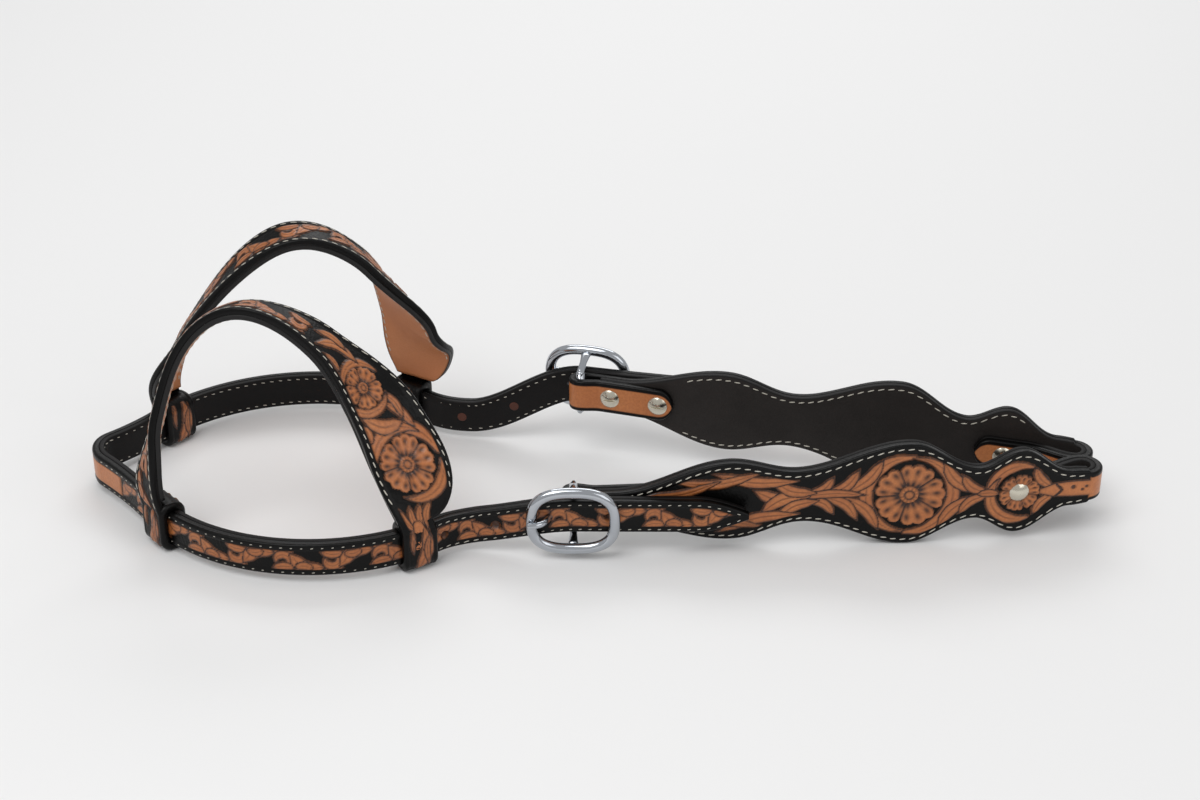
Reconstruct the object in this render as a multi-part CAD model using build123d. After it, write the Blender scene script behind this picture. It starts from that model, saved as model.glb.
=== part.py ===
from build123d import *
import math
import os

import numpy as np

# A western two-ear headstall, lying on its lower edges with the poll at -X and the bit ends at +X.
# The near side faces -Y and the far side faces +Y.  Millimetres, Z up, ground at Z = 0.

# ---------------------------------------------------------------- driving dimensions
STRAP_WIDTH = 16.0
OUTER_THICK = 3.2
LINING_THICK = 2.4
GLUE_LINE = 0.02
PITCH = 5.0
CROWN_THICK = OUTER_THICK + GLUE_LINE + LINING_THICK

POLL_X = -229.5
POLL_Y = 8.37
SLIDE_Z = 12.0

EAR_ARC_RADIUS = 90.0
EAR_ARC_ANGLE = 94.0
EAR_SLIDE_ANGLE = 39.8
NEAR_EAR_APEX_Z = 112.0
FAR_EAR_APEX_Z = 116.0
EAR_LEAN = 26.0
UPRIGHT_LEG = 0.6
EAR_LINING_START = 0.08
NEAR_EAR_SKEW = -3.0
FAR_EAR_SKEW = 22.0
EAR_LOBE = 18.0
LOBE_START = 0.50
LOBE_PEAK = 0.845
LOBE_END = 0.95

HOLE_PITCH = 25.4
HOLE_OFFSET = -9.0
HOLE_STEPS = (-2, -1, 1)
TONGUE_LEAN = 1.045
TONGUE_HOLE_REACH = 12.5
HOLE_RADIUS = 2.0
TONGUE_HOLE_RADIUS = 3.1
BILLET_TAIL = 78.0
BILLET_POINT = 24.0
BILLET_TIP = 3.0
BILLET_GAP = 0.4

CHEEK_LENGTH = 240.0
CHEEK_SPLAY = 1.2
CHEEK_STATIONS = (
    (0, 16), (19, 16), (70, 39.5), (100.5, 26), (149, 51.5), (180, 26), (199, 42), (223, 18), (241, 14.5),
)
BIT_LOOP_RADIUS = 3.2
BIT_SCREW_S = 199.0
BIT_TONGUE_END_S = 186.0

BAR_RADIUS = 2.0
BAR_CLEARANCE = 0.2
BAR_DROP = CROWN_THICK / 2 + BILLET_GAP + OUTER_THICK + BAR_RADIUS + BAR_CLEARANCE
TAB_LENGTH = 45.0
TAB_SCREWS_S = (15.0, 38.0)

BUCKLE_LENGTH = 42.0
BUCKLE_WIDTH = 34.0
BUCKLE_CORNER = 13.6
RIM_RADIUS = 2.5
RIM_RISE = 14.4
BRACKET_INNER = 8.7
BRACKET_THICK = 2.2
BRACKET_FLARE = 3.6
BRACKET_FOOT = 2.6

TONGUE_RADIUS = 1.4
TIP_GAP = 0.4
TONGUE_EYE_OUTER = 4.4
TONGUE_EYE_WIDTH = 3.0
TONGUE_SLOT_WIDTH = 4.2
TONGUE_SLOT_LENGTH = 11.0

SCREW_HEAD_RADIUS = 4.6
SCREW_HEAD_HEIGHT = 1.7
HEAD_SEAT = 0.12
BARREL_RADIUS = 2.4
THREAD_RADIUS = 1.6
SHANK_CLEARANCE = 0.05
SUNK_HEAD_RADIUS = 4.0
SUNK_HEAD_THICK = 1.0
SLOT_WIDTH = 0.9
SLOT_DEPTH = 0.8
TAB_SCREW_SHORT = 2.5
BIT_SCREW_SHORT = 3.5

RING_CLEARANCE = 0.5
RING_WALL = 3.5
RING_LENGTH = 16.6
RING_CORNER = 2.5
BAND_INSET = 0.15

# Plan path of each side from the poll to the bit end: (length, turn in degrees towards the inside of
# the headstall), and the rises of the strap's centre line: (start from the bar, length, height).
NEAR_CROWN = ((12.5, 45.0), (43.5, -11.0), (None, EAR_ARC_ANGLE), (23.0, -44.5), (39.0, 6.0))
NEAR_RISES = ((-54.0, 54.0, 8.0),)
NEAR_CHEEK = ((144.0, 1.0), (106.0, 11.0))
NEAR_CHEEK_RISES = ((0.0, 134.0, 6.4), (115.0, 125.0, -2.4))
FAR_CROWN = ((9.5, 48.0), (27.0, -13.5), (None, EAR_ARC_ANGLE), (20.0, -34.0), (26.0, 1.0), (32.0, 8.0))
FAR_RISES = ((-56.0, 56.0, 21.8),)
FAR_CHEEK = ((144.0, -8.0), (106.0, 1.0))
FAR_CHEEK_RISES = ((0.0, 134.0, -5.8), (115.0, 125.0, -8.8))

NEAR = -1.0
FAR = 1.0
UP = np.array([0.0, 0.0, 1.0])


# ---------------------------------------------------------------- paths and frames
def unit(v):
    return v / np.linalg.norm(v)


def smooth(t):
    t = min(max(t, 0.0), 1.0)
    return t * t * (3.0 - 2.0 * t)


class StrapPath:
    """A strap's centre line: arcs in plan, with smooth rises, and the outward side of the headstall."""

    def __init__(self, start, heading, arcs, rises, bar_s, side):
        self.start = start[:2]
        self.z = start[2]
        self.heading = heading
        self.arcs = arcs
        self.rises = [(bar_s + s0, length, rise) for s0, length, rise in rises]
        self.side = side

    def plan(self, s):
        x, y = self.start
        h = self.heading
        last = len(self.arcs) - 1
        for i, (length, turn) in enumerate(self.arcs):
            step = s if i == last else min(s, length)
            k = -self.side * math.radians(turn) / length
            if abs(k) < 1e-9:
                x += step * math.cos(h)
                y += step * math.sin(h)
            else:
                x += (math.sin(h + k * step) - math.sin(h)) / k
                y -= (math.cos(h + k * step) - math.cos(h)) / k
            h += k * step
            s -= step
            if s <= 0 and i < last:
                break
        return x, y, h

    def height(self, s):
        return self.z + sum(rise * smooth((s - s0) / length) for s0, length, rise in self.rises)

    def frame(self, s):
        """Point, tangent, outward normal and width direction at distance s."""
        x, y, h = self.plan(s)
        slope = self.height(s + 0.5) - self.height(s - 0.5)
        tangent = unit(np.array([math.cos(h), math.sin(h), slope]))
        outward = np.array([-self.side * math.sin(h), self.side * math.cos(h), 0.0])
        width = np.cross(outward, tangent) * -self.side
        return np.array([x, y, self.height(s)]), tangent, outward, width


def make_paths(side):
    """The crown path, and the cheek path that starts at the buckle's bar."""
    near = side == NEAR
    plan = NEAR_CROWN if near else FAR_CROWN
    arcs = [(EAR_ARC_RADIUS * math.radians(turn) if n is None else n, turn) for n, turn in plan]
    bar_s = sum(length for length, _ in arcs)
    cheek_arcs = NEAR_CHEEK if near else FAR_CHEEK
    tail_turn = cheek_arcs[0][1] * BILLET_TAIL / cheek_arcs[0][0]
    crown = StrapPath(
        (POLL_X, POLL_Y, SLIDE_Z), side * math.pi / 2, arcs + [(BILLET_TAIL, tail_turn)],
        NEAR_RISES if near else FAR_RISES, bar_s, side,
    )
    crown.bar_s = bar_s
    bar = bar_frame(crown)[0]
    heading = crown.plan(bar_s)[2] - side * math.radians(CHEEK_SPLAY)
    rises = NEAR_CHEEK_RISES if near else FAR_CHEEK_RISES
    return crown, StrapPath(bar, heading, cheek_arcs, rises, 0.0, side)


def bar_frame(crown):
    """Bar centre and the local tangent, outward and width directions of a buckle."""
    point, along, outward, width = crown.frame(crown.bar_s)
    return point - outward * BAR_DROP, along, outward, width


def vector(p):
    return Vector(float(p[0]), float(p[1]), float(p[2]))


def local_plane(point, x_dir, z_dir):
    return Plane(origin=vector(point), x_dir=vector(x_dir), z_dir=vector(z_dir))


# ---------------------------------------------------------------- leather bands
def band(sections):
    """A closed solid through cross-sections, each given by its four corner points."""
    corners = np.array(sections)
    middle = corners.mean(axis=1)
    steps = np.linalg.norm(np.diff(middle, axis=0), axis=1)
    knots = np.concatenate([[0.0], np.cumsum(steps)])
    knots = [float(k) for k in knots / knots[-1]]
    rails = [Edge.make_spline([vector(p) for p in corners[:, i]], parameters=knots) for i in range(4)]
    faces = [Face.make_surface_from_curves(rails[i], rails[(i + 1) % 4]) for i in range(4)]
    for end in (corners[0], corners[-1]):
        loop = [Edge.make_line(vector(end[i]), vector(end[(i + 1) % 4])) for i in range(4)]
        faces.append(Face.make_surface_from_curves(loop[0], Edge.make_line(vector(end[3]), vector(end[2]))))
    return Solid(Shell(faces))


def section(point, width_dir, thick_dir, low, high, below, above):
    """Corner points: from low to high along the width, from below to above through the thickness."""
    return [
        point + width_dir * low + thick_dir * below,
        point + width_dir * high + thick_dir * below,
        point + width_dir * high + thick_dir * above,
        point + width_dir * low + thick_dir * above,
    ]


def spaced(start, end, step):
    count = max(2, int(math.ceil(abs(end - start) / step)) + 1)
    return np.linspace(start, end, count)


def folded_band(path, line, below, above):
    """A band on a line of (distance, outward, width), so that it can fold back along its path."""
    line = np.array(line)
    steps = np.gradient(line, axis=0)
    sections = []
    for (s, n, full), (ds, dn, _) in zip(line, steps):
        point, along, outward, width = path.frame(s)
        normal = unit(outward * ds - along * dn)
        sections.append(section(point + outward * n, width, normal, -full / 2, full / 2, below, above))
    return band(sections)


def cheek_width(s):
    """The scalloped outline, with a rounded swell or neck at each station."""
    for (s0, w0), (s1, w1) in zip(CHEEK_STATIONS, CHEEK_STATIONS[1:]):
        if s <= s1:
            t = max(0.0, (s - s0) / (s1 - s0))
            return w0 + (w1 - w0) * (1 - math.cos(math.pi * t)) / 2
    return CHEEK_STATIONS[-1][1]


def round_end(width, left, radius):
    """Width near a round end, at distance left from it."""
    if left >= radius:
        return width
    return max(2.0, width * math.sqrt(max(0.0, 1 - ((radius - left) / radius) ** 2)))


# ---------------------------------------------------------------- crown
def crown_width(crown, s):
    left = crown.bar_s + BILLET_TAIL - s
    if left >= BILLET_POINT:
        return STRAP_WIDTH
    return BILLET_TIP + (STRAP_WIDTH - BILLET_TIP) * math.sin(math.pi / 2 * left / BILLET_POINT)


def crown_layer(paths, below, above):
    """One layer of the crown, from the far billet's point round the poll to the near one."""
    far = [(paths[FAR], s) for s in spaced(paths[FAR].bar_s + BILLET_TAIL, 0.0, PITCH)]
    near = [(paths[NEAR], s) for s in spaced(0.0, paths[NEAR].bar_s + BILLET_TAIL, PITCH)[1:]]
    sections = []
    for crown, s in far + near:
        point, _, outward, width = crown.frame(s)
        half = crown_width(crown, s) / 2
        sections.append(section(point, width, outward, -half, half, below, above))
    return band(sections)


def crown_holes(paths):
    """Adjustment holes, and the slanted hole that each buckle tongue passes through."""
    cutters = []
    for crown in paths.values():
        for step in HOLE_STEPS:
            s = crown.bar_s + HOLE_OFFSET + HOLE_PITCH * step
            point, along, outward, _ = crown.frame(s)
            plane = local_plane(point, along, outward)
            cutters.append(plane * Cylinder(HOLE_RADIUS, 4 * CROWN_THICK))
        bar, along, outward, _ = bar_frame(crown)
        lean = unit(outward - along * TONGUE_LEAN)
        plane = local_plane(bar + lean * TONGUE_HOLE_REACH, unit(np.cross(lean, UP)), lean)
        cutters.append(plane * Cylinder(TONGUE_HOLE_RADIUS, 2 * CROWN_THICK))
    return cutters


# ---------------------------------------------------------------- ears
def ear_keys(apex_z):
    """Centre line of an ear in its chord plane, as (along chord, height), from front to rear slide."""
    span = 2 * EAR_ARC_RADIUS * math.sin(math.radians(EAR_SLIDE_ANGLE))
    rise = apex_z - SLIDE_Z
    shape = (
        (0.0, 0.0), (0.0, 0.06), (-0.02, 0.13), (-0.035, 0.25), (-0.01, 0.47), (0.07, 0.74), (0.21, 0.93),
        (0.38, 1.0), (0.57, 0.925), (0.745, 0.73), (0.87, 0.48), (0.945, 0.27), (0.99, 0.13), (1.0, 0.06),
        (1.0, 0.0),
    )
    return np.array([(u * span, SLIDE_Z + z * rise) for u, z in shape])


# Turn of the ear's face about its centre line, from facing outward (0) to facing up the arch (90).
EAR_TWIST = (
    (0.0, None), (0.06, None), (0.20, 80.0), (0.45, 104.0), (0.62, 84.0), (0.78, 50.0), (0.88, 28.0),
    (0.95, None), (1.0, None),
)


def interpolate(keys, t):
    for (t0, v0), (t1, v1) in zip(keys, keys[1:]):
        if t <= t1:
            return v0 + (v1 - v0) * smooth((t - t0) / (t1 - t0))
    return keys[-1][1]


def ear_frames(crown):
    """Points, tangents, face normals and width directions along an ear's outer layer."""
    front_s = crown_arc_start(crown) + EAR_ARC_RADIUS * math.radians(EAR_ARC_ANGLE / 2 - EAR_SLIDE_ANGLE)
    rear_s = front_s + 2 * EAR_ARC_RADIUS * math.radians(EAR_SLIDE_ANGLE)
    front = crown.frame(front_s)
    rear = crown.frame(rear_s)
    chord = unit(rear[0] - front[0])
    outward = unit(front[2] + rear[2])
    stand_off = CROWN_THICK / 2 + RING_CLEARANCE + OUTER_THICK / 2 + BAND_INSET
    apex_z = NEAR_EAR_APEX_Z if crown.side == NEAR else FAR_EAR_APEX_Z
    keys = ear_keys(apex_z)
    t_keys = np.linspace(0.0, 1.0, len(keys))
    curve = Edge.make_spline([Vector(u, 0, z) for u, z in keys], parameters=[float(t) for t in t_keys])
    stations = np.linspace(0.0, 1.0, 61)
    flat = [curve.position_at(float(t)) for t in stations]
    skew = NEAR_EAR_SKEW if crown.side == NEAR else FAR_EAR_SKEW
    points = []
    for t, p in zip(stations, flat):
        lift = (p.Z - SLIDE_Z) / (apex_z - SLIDE_Z)
        foot = smooth(1 - lift / 0.4)
        face = unit((front if t < 0.5 else rear)[2] * foot + outward * (1 - foot))
        base = front[0] + chord * (p.X + skew * smooth(lift))
        place = np.array([base[0], base[1], p.Z])
        points.append(place + face * stand_off - outward * EAR_LEAN * smooth(lift))
    points = np.array(points)
    tangents = np.gradient(points, axis=0)
    twist = [(t, EAR_SLIDE_ANGLE if v is None else v) for t, v in EAR_TWIST]
    frames = []
    for t, point, tangent in zip(stations, points, tangents):
        upright = smooth(1 - (point[2] - SLIDE_Z) / (UPRIGHT_LEG * (apex_z - SLIDE_Z)))
        tangent = unit(unit(tangent) * (1 - upright) + UP * upright * math.copysign(1.0, tangent[2]))
        out = unit(outward - tangent * np.dot(outward, tangent))
        over = unit(np.cross(tangent, out)) * crown.side
        angle = math.radians(interpolate(twist, t))
        normal = out * math.cos(angle) + over * math.sin(angle)
        width = np.cross(tangent, normal) * crown.side
        frames.append((t, point, tangent, normal, width))
    return frames, (front, rear)


def crown_arc_start(crown):
    return crown.arcs[0][0] + crown.arcs[1][0]


def ear_lobe(t):
    """Extra width on the outer side: a round lobe above the rear slide that fades towards the apex."""
    if t < LOBE_START or t > LOBE_END:
        return 0.0
    if t < LOBE_PEAK:
        return EAR_LOBE * smooth((t - LOBE_START) / (LOBE_PEAK - LOBE_START))
    return EAR_LOBE * math.sqrt(1 - ((t - LOBE_PEAK) / (LOBE_END - LOBE_PEAK)) ** 2)


def ear_band(frames, first, last, below, above):
    sections = []
    for t, point, _, normal, width in frames:
        if first <= t <= last:
            half = STRAP_WIDTH / 2
            sections.append(section(point, width, normal, -half, half + ear_lobe(t), below, above))
    return band(sections)


def slide_ring(frame):
    """The loop of leather that wraps the crown at the foot of an ear."""
    point, along, outward, _ = frame
    inner_n = CROWN_THICK + 2 * RING_CLEARANCE
    inner_z = STRAP_WIDTH + 2 * RING_CLEARANCE
    plane = local_plane(point - along * RING_LENGTH / 2, outward, along)
    outer = RectangleRounded(inner_n + 2 * RING_WALL, inner_z + 2 * RING_WALL, RING_CORNER)
    profile = outer - RectangleRounded(inner_n, inner_z, RING_CORNER - RING_WALL / 2)
    return extrude(plane * profile, RING_LENGTH)


# ---------------------------------------------------------------- cheeks
TAB_GAP = 0.1
DRILL_REACH = 20.0
FLESH_N = BAR_RADIUS + BAR_CLEARANCE
LINING_INNER_N = FLESH_N - GLUE_LINE - LINING_THICK
TAB_N = LINING_INNER_N - TAB_GAP
LOOP_S = CHEEK_LENGTH - BIT_LOOP_RADIUS - LINING_THICK - GLUE_LINE - OUTER_THICK
LOOP_N = LINING_INNER_N - BIT_LOOP_RADIUS
LOOP_LINE_RADIUS = BIT_LOOP_RADIUS + LINING_THICK + GLUE_LINE
RETURN_N = LINING_INNER_N - TAB_GAP - LINING_THICK - GLUE_LINE
LOOP_EASE = 22.0
BAR_EASE = 10.0
LINING_START = 9.5
END_RADIUS = 7.0


def bar_fold():
    """The tab and the fold round the bar: (distance, outward, width) on the leather's flesh side."""
    line = []
    for s in spaced(TAB_LENGTH, BAR_EASE, PITCH / 2):
        line.append((s, TAB_N, round_end(STRAP_WIDTH, TAB_LENGTH - s, END_RADIUS)))
    for s in spaced(BAR_EASE, 0.0, 1.6)[1:-1]:
        line.append((s, TAB_N + (-FLESH_N - TAB_N) * smooth(1 - s / BAR_EASE), STRAP_WIDTH))
    for a in np.radians(spaced(270.0, 90.0, 15.0)):
        line.append((FLESH_N * math.cos(a), FLESH_N * math.sin(a), STRAP_WIDTH))
    return line


def cheek_run(start):
    return [(s, FLESH_N, cheek_width(s)) for s in spaced(start, LOOP_S, PITCH * 0.8)]


def bit_fold():
    """The loop at the bit end and the tongue folded back behind the cheek."""
    narrow = CHEEK_STATIONS[-1][1]
    line = []
    for a in np.radians(spaced(90.0, -90.0, 12.0)[1:]):
        line.append((LOOP_S + LOOP_LINE_RADIUS * math.cos(a), LOOP_N + LOOP_LINE_RADIUS * math.sin(a), narrow))
    low = LOOP_N - LOOP_LINE_RADIUS
    for s in spaced(LOOP_S, LOOP_S - LOOP_EASE, 2.2)[1:]:
        line.append((s, low + (RETURN_N - low) * smooth((LOOP_S - s) / LOOP_EASE), narrow))
    for s in spaced(LOOP_S - LOOP_EASE, BIT_TONGUE_END_S, PITCH / 2)[1:]:
        line.append((s, RETURN_N, round_end(narrow, s - BIT_TONGUE_END_S, END_RADIUS)))
    return line


def hole(path, s, radius, low, high):
    """A cutter along the outward normal at distance s, from low to high."""
    point, along, outward, _ = path.frame(s)
    plane = local_plane(point + outward * low, along, outward)
    return plane * Cylinder(radius, high - low, align=(Align.CENTER, Align.CENTER, Align.MIN))


def tongue_slot(path):
    """The slot in the fold through which the buckle's tongue swings."""
    point, along, outward, _ = path.frame(0.0)
    return local_plane(point, along, outward) * Box(TONGUE_SLOT_LENGTH, TONGUE_SLOT_WIDTH, 4 * OUTER_THICK)


def make_cheek(path):
    drill = BARREL_RADIUS + SHANK_CLEARANCE
    holes = [hole(path, s, drill, -DRILL_REACH, DRILL_REACH) for s in TAB_SCREWS_S + (BIT_SCREW_S,)]
    outer_face = FLESH_N + OUTER_THICK
    sinks = [
        hole(path, s, SUNK_HEAD_RADIUS + SHANK_CLEARANCE, outer_face - SUNK_HEAD_THICK, DRILL_REACH)
        for s in TAB_SCREWS_S
    ]
    outer = folded_band(path, bar_fold() + cheek_run(0.0)[1:] + bit_fold(), 0.0, OUTER_THICK)
    outer = outer - holes - sinks - tongue_slot(path)
    lining = folded_band(path, cheek_run(LINING_START) + bit_fold(), -GLUE_LINE - LINING_THICK, -GLUE_LINE)
    return outer, lining - holes


# ---------------------------------------------------------------- screws
def head(radius, height):
    """A domed screw head that stands on the XY plane."""
    ball = (radius * radius + height * height) / (2 * height)
    dome = Pos(0, 0, height - ball) * Sphere(ball)
    keep = Cylinder(radius, height, align=(Align.CENTER, Align.CENTER, Align.MIN))
    return dome & keep


def shaft(radius, low, high):
    return Pos(0, 0, low) * Cylinder(radius, high - low, align=(Align.CENTER, Align.CENTER, Align.MIN))


def barrel(low, high):
    return shaft(BARREL_RADIUS, low, high) - shaft(THREAD_RADIUS + SHANK_CLEARANCE, low - 1.0, high - 1.0)


def screw(face, depth):
    """A slotted screw whose head stands inwards from face, with a shank that reaches depth."""
    top = Pos(0, 0, face) * (Rot(180, 0, 0) * head(SCREW_HEAD_RADIUS, SCREW_HEAD_HEIGHT))
    slot = Pos(0, 0, face - SCREW_HEAD_HEIGHT) * Box(4 * SCREW_HEAD_RADIUS, SLOT_WIDTH, 2 * SLOT_DEPTH)
    return (top - slot) + shaft(THREAD_RADIUS, face - 0.5, depth)


def along_normal(path, s):
    point, along, outward, _ = path.frame(s)
    return local_plane(point, along, outward)


def make_tab_fasteners(path):
    outer_face = FLESH_N + OUTER_THICK
    inner_face = TAB_N - OUTER_THICK - HEAD_SEAT
    posts = []
    screws = []
    for s in TAB_SCREWS_S:
        post = barrel(inner_face, outer_face - SUNK_HEAD_THICK)
        post = post + shaft(SUNK_HEAD_RADIUS, outer_face - SUNK_HEAD_THICK, outer_face)
        posts.append(along_normal(path, s) * post)
        screws.append(along_normal(path, s) * screw(inner_face, outer_face - TAB_SCREW_SHORT))
    return posts, screws


def make_bit_fastener(path):
    outer_face = FLESH_N + OUTER_THICK
    inner_face = RETURN_N - OUTER_THICK - HEAD_SEAT
    cap = Pos(0, 0, outer_face + HEAD_SEAT) * head(SCREW_HEAD_RADIUS, SCREW_HEAD_HEIGHT)
    post = cap + barrel(inner_face, outer_face + HEAD_SEAT)
    plane = along_normal(path, BIT_SCREW_S)
    return plane * post, plane * screw(inner_face, outer_face - BIT_SCREW_SHORT)


# ---------------------------------------------------------------- buckles
def make_buckle(crown):
    """Rim, two brackets and the dropped bar, fused as one casting."""
    bar, along, outward, width = bar_frame(crown)
    base = local_plane(bar, along, outward)
    length = BUCKLE_LENGTH - 2 * RIM_RADIUS
    height = BUCKLE_WIDTH - 2 * RIM_RADIUS
    path = RectangleRounded(length, height, BUCKLE_CORNER).face().outer_wire()
    start = path.position_at(0)
    wire = Plane(origin=start, z_dir=path.tangent_at(0)) * Circle(RIM_RADIUS)
    rim = Pos(0, 0, RIM_RISE) * sweep(wire, path=path)
    flank = BRACKET_INNER + BRACKET_THICK
    plate = Plane.XZ * Polygon(
        (-5.5, RIM_RISE), (-BRACKET_FOOT, -1.6), (0.0, -BRACKET_FOOT), (BRACKET_FOOT, -1.6), (5.5, RIM_RISE),
        align=None,
    )
    taper = extrude(plate, BUCKLE_WIDTH, both=True)
    shape = rim + shaft_y(BAR_RADIUS, -flank, flank)
    for side in (-1, 1):
        lean = Plane.YZ * Polygon(
            (side * BRACKET_INNER, -BRACKET_FOOT), (side * flank, -BRACKET_FOOT),
            (side * (flank + BRACKET_FLARE), RIM_RISE), (side * (BRACKET_INNER + BRACKET_FLARE), RIM_RISE),
            align=None,
        )
        shape = shape + (taper & extrude(lean, BUCKLE_LENGTH, both=True))
    return base * shape


def shaft_y(radius, low, high):
    return Pos(0, (low + high) / 2, 0) * (Rot(90, 0, 0) * Cylinder(radius, high - low))


def make_tongue(crown):
    """An eye round the bar and a pin that leans left over the rim."""
    bar, along, outward, _ = bar_frame(crown)
    base = local_plane(bar, along, outward)
    half = TONGUE_EYE_WIDTH / 2
    eye = shaft_y(TONGUE_EYE_OUTER, -half, half) - shaft_y(BAR_RADIUS + 0.08, -5.0, 5.0)
    tip_s = -(BUCKLE_LENGTH / 2 - RIM_RADIUS) - 1.6
    tip_n = RIM_RISE + RIM_RADIUS + TONGUE_RADIUS + TIP_GAP
    line = Spline(
        (-2.3, 0, 2.3), (-9.0, 0, 8.8), (-14.4, 0, 17.4), (tip_s, 0, tip_n), tangents=((-1, 0, 1), (-1, 0, 0.1))
    )
    round_bar = Plane(origin=line @ 0, z_dir=line % 0) * Circle(TONGUE_RADIUS)
    pin = sweep(round_bar, path=line)
    return base * (eye + pin)


# ---------------------------------------------------------------- assembly
def make_parts():
    paths = {side: make_paths(side) for side in (NEAR, FAR)}
    crowns = {side: pair[0] for side, pair in paths.items()}
    parts = {}
    low = -CROWN_THICK / 2
    middle = low + LINING_THICK
    cutters = crown_holes(crowns)
    parts["crown_lining"] = crown_layer(crowns, low, middle) - cutters
    parts["crown_strap"] = crown_layer(crowns, middle + GLUE_LINE, -low) - cutters
    for side, name in ((NEAR, "near"), (FAR, "far")):
        crown, cheek = paths[side]
        outer, lining = make_cheek(cheek)
        parts[name + "_cheek_outer"] = outer
        parts[name + "_cheek_lining"] = lining
        posts, screws = make_tab_fasteners(cheek)
        parts[name + "_tab_posts"] = Compound(children=posts)
        parts[name + "_tab_screws"] = Compound(children=screws)
        parts[name + "_bit_post"], parts[name + "_bit_screw"] = make_bit_fastener(cheek)
        parts[name + "_buckle_frame"] = make_buckle(crown)
        parts[name + "_buckle_tongue"] = make_tongue(crown)
        frames, slides = ear_frames(crown)
        ear = ear_band(frames, 0.0, 1.0, -OUTER_THICK / 2, OUTER_THICK / 2)
        for slide in slides:
            ear = ear + slide_ring(slide)
        parts[name + "_ear_outer"] = ear
        inside = -OUTER_THICK / 2 - GLUE_LINE
        parts[name + "_ear_lining"] = ear_band(frames, EAR_LINING_START, 1.0 - EAR_LINING_START, inside - LINING_THICK, inside)
    return parts


if __name__ == "__main__":
    os.makedirs("parts", exist_ok=True)
    for node, shape in make_parts().items():
        export_step(shape, "parts/" + node + ".step")
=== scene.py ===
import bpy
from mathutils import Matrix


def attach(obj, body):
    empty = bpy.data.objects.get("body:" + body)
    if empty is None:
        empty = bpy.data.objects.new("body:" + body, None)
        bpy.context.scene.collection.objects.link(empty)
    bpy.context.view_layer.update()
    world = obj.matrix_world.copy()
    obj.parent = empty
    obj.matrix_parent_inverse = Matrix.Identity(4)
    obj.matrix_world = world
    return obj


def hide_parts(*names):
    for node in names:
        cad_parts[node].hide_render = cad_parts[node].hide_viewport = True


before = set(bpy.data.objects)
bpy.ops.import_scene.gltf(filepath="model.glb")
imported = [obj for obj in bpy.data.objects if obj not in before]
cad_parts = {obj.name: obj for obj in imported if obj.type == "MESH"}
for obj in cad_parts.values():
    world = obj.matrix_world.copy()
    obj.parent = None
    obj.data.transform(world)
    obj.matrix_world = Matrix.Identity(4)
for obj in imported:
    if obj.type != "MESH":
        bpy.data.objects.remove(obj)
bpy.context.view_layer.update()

import math

import bpy
import numpy as np
from mathutils import Vector

# A western two-ear headstall.  Lengths are millimetres until mesh_object() turns them into metres.
MM = 0.001
UP = np.array([0.0, 0.0, 1.0])
NEAR = -1.0
FAR = 1.0
SIDES = ((NEAR, "near"), (FAR, "far"))

# ---------------- the design's own dimensions
STRAP_WIDTH = 16.0
OUTER_THICK = 3.2
LINING_THICK = 2.4
GLUE_LINE = 0.02
CROWN_THICK = OUTER_THICK + GLUE_LINE + LINING_THICK
SLIDE_Z = 12.0
POLL = (-229.5, 8.37)
EAR_ARC_RADIUS = 90.0
EAR_ARC_ANGLE = 94.0
EAR_SLIDE_ANGLE = 39.8
EAR_APEX_Z = {NEAR: 112.0, FAR: 116.0}
EAR_LEAN = 26.0
UPRIGHT_LEG = 0.6
EAR_SKEW = {NEAR: -3.0, FAR: 22.0}
EAR_LINING_START = 0.055
EAR_LOBE = 18.0
LOBE_START = 0.50
LOBE_PEAK = 0.845
LOBE_END = 0.95
HOLE_PITCH = 25.4
HOLE_OFFSET = -9.0
HOLE_STEPS = (-2, -1, 1)
HOLE_RADIUS = 2.0
BILLET_TAIL = 78.0
BILLET_POINT = 24.0
BILLET_TIP = 3.0
BILLET_GAP = 0.4
CHEEK_LENGTH = 240.0
CHEEK_SPLAY = 1.2
CHEEK_STATIONS = (  # distance from the bar, width
    (0, 16), (19, 16), (70, 39.5), (100.5, 26), (149, 51.5), (180, 26), (199, 42), (223, 18), (241, 14.5),
)
BIT_LOOP_RADIUS = 3.2
BIT_SCREW_S = 199.0
BIT_TONGUE_END_S = 186.0
BAR_RADIUS = 2.0
BAR_CLEARANCE = 0.2
BAR_DROP = CROWN_THICK / 2 + BILLET_GAP + OUTER_THICK + BAR_RADIUS + BAR_CLEARANCE
TAB_LENGTH = 45.0
BUCKLE_LENGTH = 42.0
BUCKLE_WIDTH = 34.0
RIM_RADIUS = 2.5
RIM_RISE = 14.4
RIM_BOW = 0.35
RIM_POWER = 0.74
BUCKLE_ARM = (  # distance above the bar's axis, distance from the middle, half-width
    (13.6, 14.2, 2.7), (10.0, 13.4, 2.1), (6.0, 12.3, 1.7), (2.5, 10.9, 1.7), (0.0, 10.0, 1.9),
    (-1.9, 9.9, 1.2),
)
ARM_HALF_THICK = 1.2
RIM_FLATNESS = 0.92
RING_CLEARANCE = 0.5
RING_WALL = 3.5
RING_LENGTH = 16.6
RING_ROUND = 4.0
BAND_INSET = 0.15
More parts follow.
